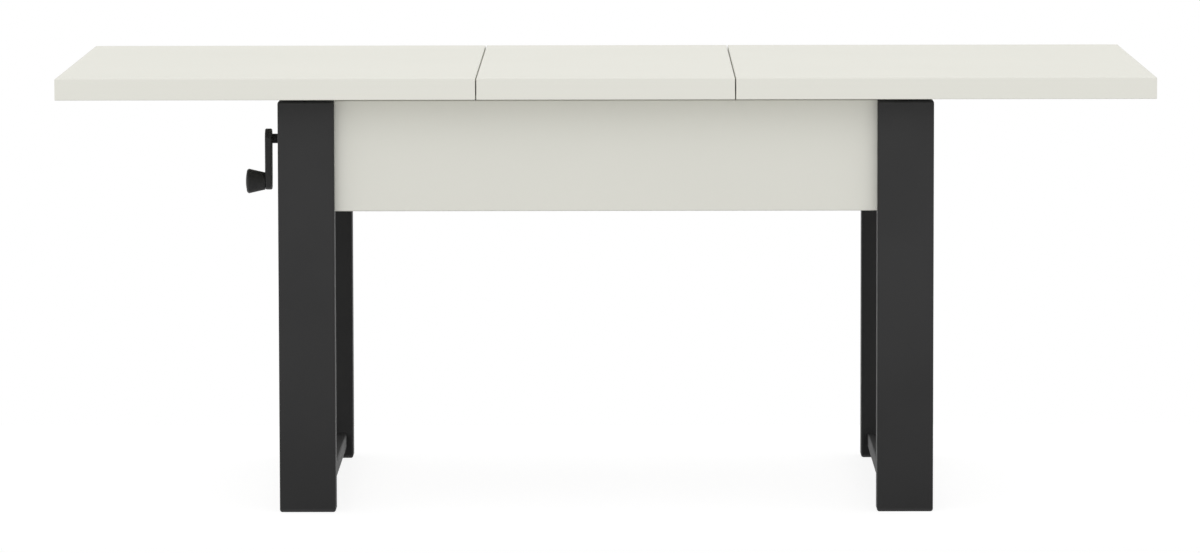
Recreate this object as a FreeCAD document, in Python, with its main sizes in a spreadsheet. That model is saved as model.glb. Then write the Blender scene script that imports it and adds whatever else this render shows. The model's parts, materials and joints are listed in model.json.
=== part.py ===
import FreeCAD, Part
import Sketcher
import math
import os
import re

Vector = FreeCAD.Vector
X_AXIS = Vector(1, 0, 0)
Y_AXIS = Vector(0, 1, 0)
Z_AXIS = Vector(0, 0, 1)

doc = FreeCAD.newDocument("convertible_table")

# Driving sizes in millimetres
SIZES = {
    # table top, leaf in place, lowered
    "top_length": 1440,
    "top_depth": 700,
    "top_thickness": 28,
    "leaf_length": 338,
    "seam_gap": 1.5,
    "board_round": 1,
    "top_corner": 1.2,
    "table_height": 576,
    # legs and stretchers
    "base_length": 862,
    "base_depth": 620,
    "leg_width": 74,
    "leg_depth": 40,
    "leg_wall": 2,
    "leg_corner": 3.5,
    "leg_gap": 4.5,
    "cap_height": 4,
    "cap_round": 3.4,
    "cap_plug": 20,
    "cap_play": 0.4,
    "stretcher_width": 56,
    "stretcher_height": 20,
    "stretcher_clear": 15,
    "stretcher_wall": 2,
    "stretcher_round": 2.5,
    # boards of the box under the top
    "board_thickness": 18,
    "apron_height": 146,
    "apron_recess": 15,
    "panel_recess": 10,
    "crossbar_inset": 62,
    "crossbar_height": 64,
    # brackets and screws
    "bracket_thickness": 3,
    "bracket_arm": 40,
    "bracket_height": 54,
    "bracket_drop": 89,
    "small_arm": 30,
    "small_height": 44,
    "screw_shank": 2,
    "screw_hole": 2.2,
    "screw_head": 4,
    "screw_head_height": 3,
    "screw_rim": 1.2,
    "screw_crown": 2.8,
    "recess_span": 4.4,
    "recess_width": 1,
    "recess_depth": 1.6,
    "screw_length": 14,
    # crank
    "crank_drop": 76.5,
    "crank_throw": 58,
    "crank_gap": 23,
    "arm_thickness": 9.5,
    "arm_hub": 13.5,
    "arm_end": 11.7,
    "arm_round": 2,
    "crank_shaft": 6.5,
    "grub_radius": 2.5,
    "knob_length": 26.5,
    "knob_radius": 16.7,
    "knob_neck": 11.8,
    "knob_dome": 1.2,
    "knob_flat": 2.5,
    "knob_rim": 4.5,
    "pin_radius": 5,
    "pin_depth": 20,
    # shafts, gears and lead screws
    "shaft_radius": 4,
    "press_play": 0.02,
    "running_play": 0.05,
    "gear_radius": 12,
    "gear_teeth": 16,
    "gear_addendum": 1.6,
    "gear_dedendum": 2.1,
    "gear_taper": 0.62,
    "gear_hub": 8,
    "gear_hub_length": 5,
    "bush_radius": 7,
    "bush_flange": 10,
    "crank_flange": 15,
    "crank_lip": 3,
    "lip_round": 1.2,
    "hanger_place": 45,
    "hanger_width": 34,
    "hanger_web": 14,
    "hanger_height": 24,
    "screw_inset": 21,
    "lead_radius": 6,
    "lead_travel": 190,
    "bearing_width": 36,
    "bearing_height": 8,
    "bearing_gap": 0.5,
    # lift posts and what they carry
    "post_size": 30,
    "post_wall": 2,
    "post_inset": 17,
    "post_play": 0.25,
    "carrier_height": 25,
    "carrier_margin": 12,
    "nut_radius": 11,
    "nut_play": 0.1,
    "bridge_thickness": 3,
    "bridge_width": 37,
    "bridge_flange": 30,
    # slide rails and runners
    "rail_place": 180,
    "rail_width": 64,
    "rail_height": 28,
    "rail_lip": 6,
    "slot_neck": 12,
    "slot_width": 22,
    "slot_height": 14,
    "slot_pitch": 30,
    "slide_play": 0.3,
    "runner_outer": 355,
    "runner_inner": 120,
    "runner_screw_pitch": 75,
    "runner_grip": 16,
}

sheet = doc.addObject("Spreadsheet::Sheet", "dims")
for row, (alias, value) in enumerate(SIZES.items(), start=1):
    sheet.set(f"A{row}", str(value))
    sheet.setAlias(f"A{row}", alias)
doc.recompute()

# Places that many pieces share, as formulas of the sizes
UNDERSIDE = "(table_height - top_thickness)"
LEG_TOP = f"({UNDERSIDE} - leg_gap)"
LEG_X = "((base_length - leg_width) / 2)"
LEG_Y = "((base_depth - leg_depth) / 2)"
LEG_INNER_X = "(base_length / 2 - leg_width)"
LEG_INNER_Y = "(base_depth / 2 - leg_depth)"
PANEL_OUT = "(base_length / 2 - panel_recess)"
PANEL_IN = f"({PANEL_OUT} - board_thickness)"
APRON_IN = "(base_depth / 2 - apron_recess - board_thickness)"
APRON_LOW = f"({LEG_TOP} - apron_height)"
CRANK_Z = f"({UNDERSIDE} - crank_drop)"
SCREW_X = f"({LEG_INNER_X} + leg_wall + screw_inset)"
POST_X = "(base_length / 2 - leg_wall - post_inset)"
ARM_IN = "(base_length / 2 + crank_gap)"
GEAR_NEAR = "(gear_radius * gear_taper)"
GEAR_FAR = "(gear_radius + gear_hub_length)"
BEARING_TOP = f"({CRANK_Z} - {GEAR_FAR} - bearing_gap)"
LEAD_TOP = f"({BEARING_TOP} - bearing_height - bearing_gap)"
CARRIER_TOP = f"({LEAD_TOP} - carrier_margin - lead_travel)"
CARRIER_LOW = f"({CARRIER_TOP} - carrier_height)"
LEAD_LOW = f"({CARRIER_LOW} - carrier_margin)"
BRIDGE_LOW = f"({UNDERSIDE} - bridge_thickness)"
BRIDGE_OUT = "(base_length / 2 - leg_wall - 2)"
BRIDGE_IN = f"({BRIDGE_OUT} - bridge_width)"
HALF_LENGTH = "((top_length - leaf_length) / 2 - seam_gap)"
HALF_X = f"((leaf_length + {HALF_LENGTH}) / 2 + seam_gap)"

WORD = re.compile(r"[a-z][a-z_]+")


def size(alias):
    return float(getattr(sheet, alias))


def bind(obj, prop, text):
    formula = WORD.sub(lambda word: f"dims.{word[0]}" if word[0] in SIZES else word[0], text)
    obj.setExpression(prop, formula)


def place(obj, base):
    for axis, text in zip("xyz", base):
        bind(obj, f"Placement.Base.{axis}", text)


# A box from its three sizes and its centre
def block(name, sides, centre):
    box = doc.addObject("Part::Box", name)
    for prop, text in zip(("Length", "Width", "Height"), sides):
        bind(box, prop, text)
    place(box, [f"{middle} - ({side}) / 2" for middle, side in zip(centre, sides)])
    return box


# A box from its lowest and highest corners
def span(name, low, high):
    sides = [f"({b}) - ({a})" for a, b in zip(low, high)]
    centre = [f"(({a}) + ({b})) / 2" for a, b in zip(low, high)]
    return block(name, sides, centre)


# A cylinder from its start point along a direction
def rod(name, radius, length, start, direction):
    cylinder = doc.addObject("Part::Cylinder", name)
    bind(cylinder, "Radius", radius)
    bind(cylinder, "Height", length)
    cylinder.Placement = FreeCAD.Placement(Vector(), FreeCAD.Rotation(Z_AXIS, direction))
    place(cylinder, start)
    return cylinder


# A truncated cone from its start point along a direction
def cone(name, radius, end_radius, length, start, direction):
    tapered = doc.addObject("Part::Cone", name)
    bind(tapered, "Radius1", radius)
    bind(tapered, "Radius2", end_radius)
    bind(tapered, "Height", length)
    tapered.Placement = FreeCAD.Placement(Vector(), FreeCAD.Rotation(Z_AXIS, direction))
    place(tapered, start)
    return tapered


# A point moved along a direction
def moved(point, direction, distance):
    return [f"{text} + ({value}) * ({distance})" for text, value in zip(point, direction)]


def fuse(name, *pieces):
    joined = doc.addObject("Part::MultiFuse", name)
    joined.Shapes = list(pieces)
    joined.Refine = True
    return joined


def cut(name, base, *tools):
    result = doc.addObject("Part::Cut", name)
    result.Base = base
    result.Tool = tools[0] if len(tools) == 1 else fuse(f"{name}_tools", *tools)
    return result


def group(name, pieces):
    compound = doc.addObject("Part::Compound", name)
    compound.Links = list(pieces)
    return compound


def mirror(name, source, normal):
    copy = doc.addObject("Part::Mirroring", name)
    copy.Source = source
    copy.Base = Vector()
    copy.Normal = normal
    return copy


# The front left piece with its images at the other three corners
def corners(name, front_left):
    front_right = mirror(f"{name}_front_right", front_left, X_AXIS)
    rear_left = mirror(f"{name}_rear_left", front_left, Y_AXIS)
    rear_right = mirror(f"{name}_rear_right", front_right, Y_AXIS)
    return [front_left, front_right, rear_left, rear_right]


def rounded(name, base, radius, chosen):
    doc.recompute()
    fillet = doc.addObject("Part::Fillet", name)
    fillet.Base = base
    edges = enumerate(base.Shape.Edges, start=1)
    fillet.Edges = [(number, radius, radius) for number, edge in edges if chosen(edge)]
    return fillet


def upright(edge):
    return abs(edge.tangentAt(edge.FirstParameter).z) > 0.99


def front_to_rear(edge):
    return abs(edge.tangentAt(edge.FirstParameter).y) > 0.99


def left_to_right(edge):
    return abs(edge.tangentAt(edge.FirstParameter).x) > 0.99


def level_at(height):
    return lambda edge: all(abs(v.Point.z - height) < 0.01 for v in edge.Vertexes)


def level(edge):
    return not upright(edge)


nodes = []


def node(obj, label):
    obj.Label = label
    nodes.append(obj)
    return obj


# Legs: upright rectangular tubes with a hole for the cross shaft
leg_sides = ("leg_width", "leg_depth", f"{LEG_TOP} - 2 * cap_height")
leg_centre = (f"-{LEG_X}", f"-{LEG_Y}", f"{LEG_TOP} / 2")
bore_sides = ("leg_width - 2 * leg_wall", "leg_depth - 2 * leg_wall", leg_sides[2])
leg_outer = rounded("leg_outer", block("leg_block", leg_sides, leg_centre), size("leg_corner"), upright)
BORE_CORNER = size("leg_corner") - size("leg_wall")
leg_bore = rounded("leg_bore", block("leg_bore_block", bore_sides, leg_centre), BORE_CORNER, upright)
leg_hole = rod(
    "leg_hole",
    "bush_radius + press_play",
    "leg_depth / 2 + 1",
    (f"-{SCREW_X}", f"-{LEG_Y}", CRANK_Z),
    Y_AXIS,
)
leg = cut("leg", leg_outer, leg_bore, leg_hole)
LEG_NAMES = ("front_left", "front_right", "rear_left", "rear_right")
for place_name, piece in zip(LEG_NAMES, corners("leg", leg)):
    node(piece, f"leg_{place_name}")


# Plastic caps: a rounded flange as large as the leg and a plug inside it
def cap(name, flange_low, plug_low, rounded_height):
    sides = ("leg_width", "leg_depth", "cap_height")
    flange = block(f"{name}_block", sides, (f"-{LEG_X}", f"-{LEG_Y}", f"{flange_low} + cap_height / 2"))
    flange = rounded(f"{name}_sides", flange, size("leg_corner"), upright)
    flange = rounded(f"{name}_flange", flange, size("cap_round"), level_at(rounded_height))
    inside = "2 * leg_wall - 2 * cap_play"
    plug_sides = (f"leg_width - {inside}", f"leg_depth - {inside}", "cap_plug")
    plug = block(f"{name}_plug", plug_sides, (f"-{LEG_X}", f"-{LEG_Y}", f"{plug_low} + cap_plug / 2"))
    plug = rounded(f"{name}_plug_sides", plug, BORE_CORNER, upright)
    return fuse(f"{name}_cap", flange, plug)


leg_top = size("table_height") - size("top_thickness") - size("leg_gap")
glide = cap("glide", "0", "cap_height", 0)
node(group("glides", corners("glide", glide)), "foot_glides")

collar_body = cap("collar", f"{LEG_TOP} - cap_height", f"{LEG_TOP} - cap_height - cap_plug", leg_top)
post_way = block(
    "post_way",
    ("post_size + 2 * post_play", "post_size + 2 * post_play", "4 * cap_plug"),
    (f"-{POST_X}", f"-{LEG_Y}", LEG_TOP),
)
collar = cut("collar", collar_body, post_way)
node(group("collars", corners("collar", collar)), "leg_collars")

# Stretchers: low flat tubes from front leg to rear leg
stretcher_centre = (f"-{LEG_X}", "0", "stretcher_clear + stretcher_height / 2")
stretcher_sides = ("stretcher_width", f"2 * {LEG_INNER_Y}", "stretcher_height")
stretcher_outer = rounded(
    "stretcher_outer",
    block("stretcher_block", stretcher_sides, stretcher_centre),
    size("stretcher_round"),
    front_to_rear,
)
stretcher_bore = block(
    "stretcher_bore",
    (
        "stretcher_width - 2 * stretcher_wall",
        f"2 * {LEG_INNER_Y}",
        "stretcher_height - 2 * stretcher_wall",
    ),
    stretcher_centre,
)
stretcher = node(cut("stretcher", stretcher_outer, stretcher_bore), "stretcher_left")
node(mirror("stretcher_copy", stretcher, X_AXIS), "stretcher_right")

# Brackets: bent plates that hold the boards in the corners
BRACKET_LOW = f"({UNDERSIDE} - bracket_drop - bracket_height)"
SMALL_LOW = f"({CRANK_Z} - small_height / 2)"
CROSSBAR_X = f"({LEG_INNER_X} - crossbar_inset)"
CROSSBAR_IN = f"({CROSSBAR_X} - board_thickness / 2)"


def bracket(name, low, corner_x, corner_y, arm_x, arm_y, height):
    top = f"{low} + {height}"
    deep_x = f"{corner_x} + bracket_thickness"
    deep_y = f"{corner_y} + bracket_thickness"
    along_x = span(f"{name}_along_x", (corner_x, corner_y, low), (f"{corner_x} + {arm_x}", deep_y, top))
    along_y = span(f"{name}_along_y", (corner_x, corner_y, low), (deep_x, f"{corner_y} + {arm_y}", top))
    return fuse(f"{name}_plate", along_x, along_y)


apron_plate = bracket(
    "apron_bracket",
    BRACKET_LOW,
    f"-{LEG_INNER_X}",
    f"-{APRON_IN}",
    "bracket_arm",
    f"({APRON_IN} - {LEG_INNER_Y})",
    "bracket_height",
)
panel_plate = bracket(
    "panel_bracket",
    BRACKET_LOW,
    f"-{PANEL_IN}",
    f"-{LEG_INNER_Y}",
    "bracket_arm",
    "bracket_arm",
    "bracket_height",
)
crossbar_plate = bracket(
    "crossbar_bracket",
    SMALL_LOW,
    f"-{CROSSBAR_IN}",
    f"-{APRON_IN}",
    "small_arm",
    "small_arm",
    "small_height",
)

# Shaft hangers: blocks on the end panels that carry the cross shafts
hanger_low = f"{CRANK_Z} - hanger_height / 2"
hanger_high = f"{CRANK_Z} + hanger_height / 2"
hanger_foot = span(
    "hanger_foot",
    (f"-{PANEL_IN}", "-hanger_place - hanger_width / 2", hanger_low),
    (f"-{PANEL_IN} + 4", "-hanger_place + hanger_width / 2", hanger_high),
)
hanger_web = span(
    "hanger_web",
    (f"-{PANEL_IN}", "-hanger_place - hanger_web / 2", hanger_low),
    (f"-{SCREW_X} + 10", "-hanger_place + hanger_web / 2", hanger_high),
)
hanger_block = fuse("hanger_block", hanger_foot, hanger_web)
hanger_bore = rod(
    "hanger_bore",
    "shaft_radius + running_play",
    "hanger_width",
    (f"-{SCREW_X}", "-hanger_place - hanger_width / 2", CRANK_Z),
    Y_AXIS,
)


# Screw heads: a rim, a tapered crown and a cross recess in it
def cross_recess(name, face, direction):
    bars = []
    for long_side in range(3):
        if direction[long_side]:
            continue
        sides = ["2 * recess_depth" if value else "recess_width" for value in direction]
        sides[long_side] = "recess_span"
        bars.append(block(f"{name}_bar_{long_side}", sides, face))
    return fuse(f"{name}_bars", *bars)


def screw_head(name, seat, outward):
    crown_height = "screw_head_height - screw_rim"
    rim = rod(f"{name}_rim", "screw_head", "screw_rim", seat, outward)
    crown_seat = moved(seat, outward, "screw_rim")
    crown = cone(f"{name}_crown", "screw_head", "screw_crown", crown_height, crown_seat, outward)
    recess = cross_recess(f"{name}_recess", moved(seat, outward, "screw_head_height"), outward)
    return cut(f"{name}_head", fuse(f"{name}_full_head", rim, crown), recess)


# Wood screws: each has a head, a shank, a clear hole in the metal and a pilot hole in the board
def wood_screw(name, point, direction):
    head = screw_head(name, point, -direction)
    shank = rod(f"{name}_shank", "screw_shank", "screw_length", point, direction)
    screw = fuse(f"{name}_screw", head, shank)
    hole = rod(f"{name}_hole", "screw_hole", "2 * bracket_thickness", point, direction)
    pilot = rod(f"{name}_pilot", "screw_shank + press_play", "screw_length + 0.5", point, direction)
    return screw, hole, pilot


def screw_pair(name, points, direction):
    made = [wood_screw(f"{name}_{number}", point, direction) for number, point in enumerate(points)]
    screws, holes, pilots = zip(*made)
    return list(screws), fuse(f"{name}_holes", *holes), fuse(f"{name}_pilots", *pilots)


def two_levels(x, y, low, height):
    return [(x, y, f"{low} + {height} * {share}") for share in (0.25, 0.75)]


apron_fix, apron_holes, apron_pilots = screw_pair(
    "apron_fix",
    two_levels(
        f"-{LEG_INNER_X} + bracket_arm / 2",
        f"-{APRON_IN} + bracket_thickness",
        BRACKET_LOW,
        "bracket_height",
    ),
    -Y_AXIS,
)
panel_fix, panel_holes, panel_pilots = screw_pair(
    "panel_fix",
    two_levels(
        f"-{PANEL_IN} + bracket_thickness",
        f"-{LEG_INNER_Y} + bracket_arm / 2",
        BRACKET_LOW,
        "bracket_height",
    ),
    -X_AXIS,
)
bar_end_fix, bar_end_holes, bar_end_pilots = screw_pair(
    "bar_end_fix",
    two_levels(
        f"-{CROSSBAR_IN} + small_arm * 0.6",
        f"-{APRON_IN} + bracket_thickness",
        SMALL_LOW,
        "small_height",
    ),
    -Y_AXIS,
)
bar_fix, bar_holes, bar_pilots = screw_pair(
    "bar_fix",
    two_levels(
        f"-{CROSSBAR_IN} + bracket_thickness",
        f"-{APRON_IN} + small_arm * 0.6",
        SMALL_LOW,
        "small_height",
    ),
    -X_AXIS,
)
hanger_fix, hanger_holes, hanger_pilots = screw_pair(
    "hanger_fix",
    [
        (f"-{PANEL_IN} + 4", f"-hanger_place + ({side}) * (hanger_width / 2 - 5)", CRANK_Z)
        for side in (-1, 1)
    ],
    -X_AXIS,
)

apron_bracket = cut("apron_bracket", apron_plate, apron_holes)
panel_bracket = cut("panel_bracket", panel_plate, panel_holes)
crossbar_bracket = cut("crossbar_bracket", crossbar_plate, bar_end_holes, bar_holes)
brackets = group("bracket_set", [apron_bracket, panel_bracket, crossbar_bracket])
node(group("brackets", corners("brackets", brackets)), "corner_brackets")

hanger = cut("hanger", hanger_block, hanger_bore, hanger_holes)
node(group("hangers", corners("hanger", hanger)), "shaft_hangers")

screw_set = group("screw_set", apron_fix + panel_fix + bar_end_fix + bar_fix + hanger_fix)
node(group("screws", corners("screws", screw_set)), "board_screws")

# Apron boards along the front and the rear
apron_block = span(
    "apron_block",
    (f"-{LEG_INNER_X}", f"-{APRON_IN} - board_thickness", APRON_LOW),
    (LEG_INNER_X, f"-{APRON_IN}", LEG_TOP),
)
apron_board = rounded("apron_board", apron_block, size("board_round"), left_to_right)
apron_left_pilots = fuse("apron_left_pilots", apron_pilots, bar_end_pilots)
apron_right_pilots = mirror("apron_right_pilots", apron_left_pilots, X_AXIS)
apron = node(cut("apron", apron_board, apron_left_pilots, apron_right_pilots), "apron_front")
node(mirror("apron_copy", apron, Y_AXIS), "apron_rear")

# End panels, the left one with the hole for the crank bush
panel_block = span(
    "panel_block",
    (f"-{PANEL_OUT}", f"-{LEG_INNER_Y}", APRON_LOW),
    (f"-{PANEL_IN}", LEG_INNER_Y, LEG_TOP),
)
panel_board = rounded("panel_board", panel_block, size("board_round"), front_to_rear)
panel_front_pilots = fuse("panel_front_pilots", panel_pilots, hanger_pilots)
panel_rear_pilots = mirror("panel_rear_pilots", panel_front_pilots, Y_AXIS)
plain_panel = cut("plain_panel", panel_board, panel_front_pilots, panel_rear_pilots)
crank_hole = rod(
    "crank_hole",
    "bush_flange + press_play",
    "2 * board_thickness",
    (f"-{PANEL_OUT} - board_thickness / 2", "0", CRANK_Z),
    X_AXIS,
)
node(cut("panel_with_hole", plain_panel, crank_hole), "end_panel_left")
node(mirror("panel_copy", plain_panel, X_AXIS), "end_panel_right")

# Crossbars that carry the long main shaft
crossbar_board = block(
    "crossbar_board",
    ("board_thickness", f"2 * {APRON_IN}", "crossbar_height"),
    (f"-{CROSSBAR_X}", "0", CRANK_Z),
)
crossbar_hole = rod(
    "crossbar_hole",
    "bush_radius + press_play",
    "2 * board_thickness",
    (f"-{CROSSBAR_X} - board_thickness", "0", CRANK_Z),
    X_AXIS,
)
bar_rear_pilots = mirror("bar_rear_pilots", bar_pilots, Y_AXIS)
crossbar = cut("crossbar", crossbar_board, crossbar_hole, bar_pilots, bar_rear_pilots)
node(crossbar, "crossbar_left")
node(mirror("crossbar_copy", crossbar, X_AXIS), "crossbar_right")


# Bushes: a sleeve with a flange, bored for a shaft
def bush(name, start, direction, sleeve, length, flange, flange_at, flange_length, shaft):
    body = fuse(
        f"{name}_body",
        rod(f"{name}_sleeve", sleeve, length, start, direction),
        rod(f"{name}_flange", flange, flange_length, moved(start, direction, flange_at), direction),
    )
    bore = rod(f"{name}_bore", f"{shaft} + running_play", length, start, direction)
    return cut(f"{name}_bush", body, bore)


leg_bush = bush(
    "leg_bush",
    (f"-{SCREW_X}", f"-{LEG_INNER_Y} - leg_wall - 0.5", CRANK_Z),
    Y_AXIS,
    "bush_radius",
    "leg_wall + 8",
    "bush_flange",
    "leg_wall + 0.5",
    "2",
    "shaft_radius",
)
bar_bush = bush(
    "bar_bush",
    (f"-{CROSSBAR_X} - board_thickness / 2", "0", CRANK_Z),
    X_AXIS,
    "bush_radius",
    "board_thickness + 2",
    "bush_flange",
    "board_thickness",
    "2",
    "shaft_radius",
)
crank_bush = bush(
    "crank_bush",
    (f"-{PANEL_OUT} - crank_lip", "0", CRANK_Z),
    X_AXIS,
    "bush_flange",
    "board_thickness + crank_lip + 1",
    "crank_flange",
    "0",
    "crank_lip",
    "crank_shaft",
)
CRANK_FACE = size("panel_recess") - size("base_length") / 2 - size("crank_lip")


def outer_rim(edge):
    box = edge.BoundBox
    return box.XMax < CRANK_FACE + 0.01 and box.YLength > 2 * size("crank_flange") - 0.01


crank_bush = rounded("crank_bush_rim", crank_bush, size("lip_round"), outer_rim)
bar_bushes = [bar_bush, mirror("bar_bush_copy", bar_bush, X_AXIS)]
node(group("bushes", corners("leg_bush", leg_bush) + bar_bushes + [crank_bush]), "shaft_bushes")


# Bearing blocks inside the legs at both ends of each lead screw
def lead_bearing(name, top):
    side = "leg_depth - 2 * leg_wall - 2 * cap_play"
    outer = f"-{LEG_INNER_X} - leg_wall - cap_play"
    solid = span(
        f"{name}_block",
        (f"{outer} - bearing_width", f"-{LEG_Y} - ({side}) / 2", f"{top} - bearing_height"),
        (outer, f"-{LEG_Y} + ({side}) / 2", top),
    )
    solid = rounded(f"{name}_sides", solid, BORE_CORNER, upright)
    bore = rod(
        f"{name}_bore",
        "shaft_radius + running_play",
        "2 * bearing_height",
        (f"-{SCREW_X}", f"-{LEG_Y}", f"{top} - 1.5 * bearing_height"),
        Z_AXIS,
    )
    return cut(f"{name}_bearing", solid, bore)


LOW_BEARING_TOP = f"({LEAD_LOW} - bearing_gap)"
upper_bearings = corners("upper_bearing", lead_bearing("upper", BEARING_TOP))
lower_bearings = corners("lower_bearing", lead_bearing("lower", LOW_BEARING_TOP))
node(group("bearings", upper_bearings + lower_bearings), "screw_bearings")


# Bevel gear with its cone point at the origin and its hub along +Z; a tooth points along +X
def bevel_gear():
    pitch = 2 * math.pi / size("gear_teeth")
    root = size("gear_radius") - size("gear_dedendum")
    tip = size("gear_radius") + size("gear_addendum")
    outline = []
    for tooth in range(int(size("gear_teeth"))):
        middle = tooth * pitch
        outline.append((root, middle - 0.32 * pitch))
        outline.append((tip, middle - 0.11 * pitch))
        outline.append((tip, middle + 0.11 * pitch))
        outline.append((root, middle + 0.32 * pitch))
    rings = []
    for scale in (size("gear_taper"), 1):
        height = scale * size("gear_radius")
        ring = [Vector(scale * r * math.cos(a), scale * r * math.sin(a), height) for r, a in outline]
        rings.append(ring)
    small, large = rings
    faces = [Part.Face(Part.makePolygon(ring + ring[:1])) for ring in rings]
    for here in range(len(outline)):
        after = (here + 1) % len(outline)
        quad = [small[here], small[after], large[after], large[here], small[here]]
        faces.append(Part.Face(Part.makePolygon(quad)))
    teeth = Part.Solid(Part.Shell(faces))
    hub_start = Vector(0, 0, size("gear_radius"))
    hub = Part.makeCylinder(size("gear_hub"), size("gear_hub_length"), hub_start)
    bore = Part.makeCylinder(size("shaft_radius") + size("press_play"), 4 * size("gear_radius"))
    return teeth.fuse(hub).cut(bore)


GEAR_SHAPE = bevel_gear()
HALF_PITCH = 180 / size("gear_teeth")


def gear(name, apex, direction, turned):
    copy = doc.addObject("Part::Feature", name)
    copy.Shape = GEAR_SHAPE
    turn = FreeCAD.Rotation(Z_AXIS, HALF_PITCH if turned else 0)
    if direction.z < 0:
        swing = FreeCAD.Rotation(X_AXIS, 180)
    else:
        swing = FreeCAD.Rotation(Z_AXIS, direction)
    copy.Placement = FreeCAD.Placement(Vector(), swing.multiply(turn))
    place(copy, apex)
    return copy


# Crank: stepped shaft, gear, arm, grub screw and knob pin
crank_shaft = fuse(
    "crank_shaft_body",
    rod(
        "crank_shaft_thick",
        "crank_shaft",
        f"{ARM_IN} + arm_thickness - {PANEL_IN} + 2",
        (f"-{ARM_IN} - arm_thickness", "0", CRANK_Z),
        X_AXIS,
    ),
    rod(
        "crank_shaft_thin",
        "shaft_radius",
        f"{PANEL_IN} - 2 - {SCREW_X} - {GEAR_NEAR}",
        (f"-{PANEL_IN} + 2", "0", CRANK_Z),
        X_AXIS,
    ),
)
node(crank_shaft, "crank_shaft")
LEFT_APEX = (f"-{SCREW_X}", "0", CRANK_Z)
RIGHT_APEX = (SCREW_X, "0", CRANK_Z)
node(gear("crank_gear_body", LEFT_APEX, -X_AXIS, False), "crank_gear")


def origin_plane(body, role):
    return next(plane for plane in body.Origin.OriginFeatures if plane.Role == role)


def sketch_on(body, name, role):
    sketch = body.newObject("Sketcher::SketchObject", name)
    sketch.AttachmentSupport = [(origin_plane(body, role), "")]
    sketch.MapMode = "FlatFace"
    return sketch


def named_constraint(sketch, name, text, *reference):
    number = sketch.addConstraint(Sketcher.Constraint(*reference))
    sketch.renameConstraint(number, name)
    bind(sketch, f"Constraints.{name}", text)


arm = doc.addObject("PartDesign::Body", "arm")
arm_sketch = sketch_on(arm, "arm_sketch", "YZ_Plane")
hub_radius = size("arm_hub")
end_radius = size("arm_end")
throw = size("crank_throw")
lean = math.asin((hub_radius - end_radius) / throw)
hub_circle = Part.Circle(Vector(), Z_AXIS, hub_radius)
end_circle = Part.Circle(Vector(0, -throw, 0), Z_AXIS, end_radius)
tangent = Vector(math.cos(lean), -math.sin(lean), 0)
opposite = Vector(-tangent.x, tangent.y, 0)
end_centre = Vector(0, -throw, 0)
arm_sketch.addGeometry(
    [
        Part.ArcOfCircle(hub_circle, -lean, math.pi + lean),
        Part.LineSegment(opposite * hub_radius, end_centre + opposite * end_radius),
        Part.ArcOfCircle(end_circle, math.pi + lean, 2 * math.pi - lean),
        Part.LineSegment(end_centre + tangent * end_radius, tangent * hub_radius),
        Part.Circle(Vector(), Z_AXIS, size("crank_shaft")),
        Part.Circle(end_centre, Z_AXIS, size("pin_radius")),
    ],
    False,
)
for first, first_end, second, second_end in ((0, 2, 1, 1), (1, 2, 2, 1), (2, 2, 3, 1), (3, 2, 0, 1)):
    arm_sketch.addConstraint(Sketcher.Constraint("Tangent", first, first_end, second, second_end))
arm_sketch.addConstraint(Sketcher.Constraint("Coincident", 0, 3, -1, 1))
arm_sketch.addConstraint(Sketcher.Constraint("Coincident", 4, 3, -1, 1))
arm_sketch.addConstraint(Sketcher.Constraint("Coincident", 5, 3, 2, 3))
arm_sketch.addConstraint(Sketcher.Constraint("PointOnObject", 2, 3, -2))
named_constraint(arm_sketch, "hub", "arm_hub", "Radius", 0, hub_radius)
named_constraint(arm_sketch, "end", "arm_end", "Radius", 2, end_radius)
named_constraint(arm_sketch, "throw", "crank_throw", "DistanceY", 2, 3, 0, 3, throw)
named_constraint(arm_sketch, "bore", "crank_shaft + press_play", "Radius", 4, size("crank_shaft"))
named_constraint(arm_sketch, "pin", "pin_radius + press_play", "Radius", 5, size("pin_radius"))
arm_pad = arm.newObject("PartDesign::Pad", "arm_pad")
arm_pad.Profile = arm_sketch
bind(arm_pad, "Length", "arm_thickness")
doc.recompute()


# Edges of the arm's outline lie further from both holes than the holes' own edges
def on_outline(edge):
    middle = edge.valueAt((edge.FirstParameter + edge.LastParameter) / 2)
    flat = abs(edge.tangentAt(edge.FirstParameter).x) < 0.01
    from_hub = Vector(0, middle.y, middle.z).Length
    from_end = Vector(0, middle.y, middle.z + throw).Length
    return flat and from_hub > size("crank_shaft") + 1 and from_end > size("pin_radius") + 1


arm_fillet = arm.newObject("PartDesign::Fillet", "arm_fillet")
outline_edges = [
    f"Edge{number}" for number, edge in enumerate(arm_pad.Shape.Edges, start=1) if on_outline(edge)
]
arm_fillet.Base = (arm_pad, outline_edges)
bind(arm_fillet, "Radius", "arm_round")
place(arm, (f"-{ARM_IN} - arm_thickness", "0", CRANK_Z))
grub_start = (f"-{ARM_IN} - arm_thickness / 2", "0", f"{CRANK_Z} + crank_shaft + press_play")
grub_hole = rod("grub_hole", "grub_radius + press_play", "arm_hub", grub_start, Z_AXIS)
node(cut("arm_with_hole", arm, grub_hole), "crank_arm")
grub_length = "arm_hub - crank_shaft - 1"
node(rod("grub", "grub_radius", grub_length, grub_start, Z_AXIS), "crank_grub_screw")
KNOB_Z = f"({CRANK_Z} - crank_throw)"
pin = rod(
    "pin",
    "pin_radius",
    "arm_thickness + pin_depth",
    (f"-{ARM_IN}", "0", KNOB_Z),
    -X_AXIS,
)
node(pin, "knob_pin")

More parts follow.
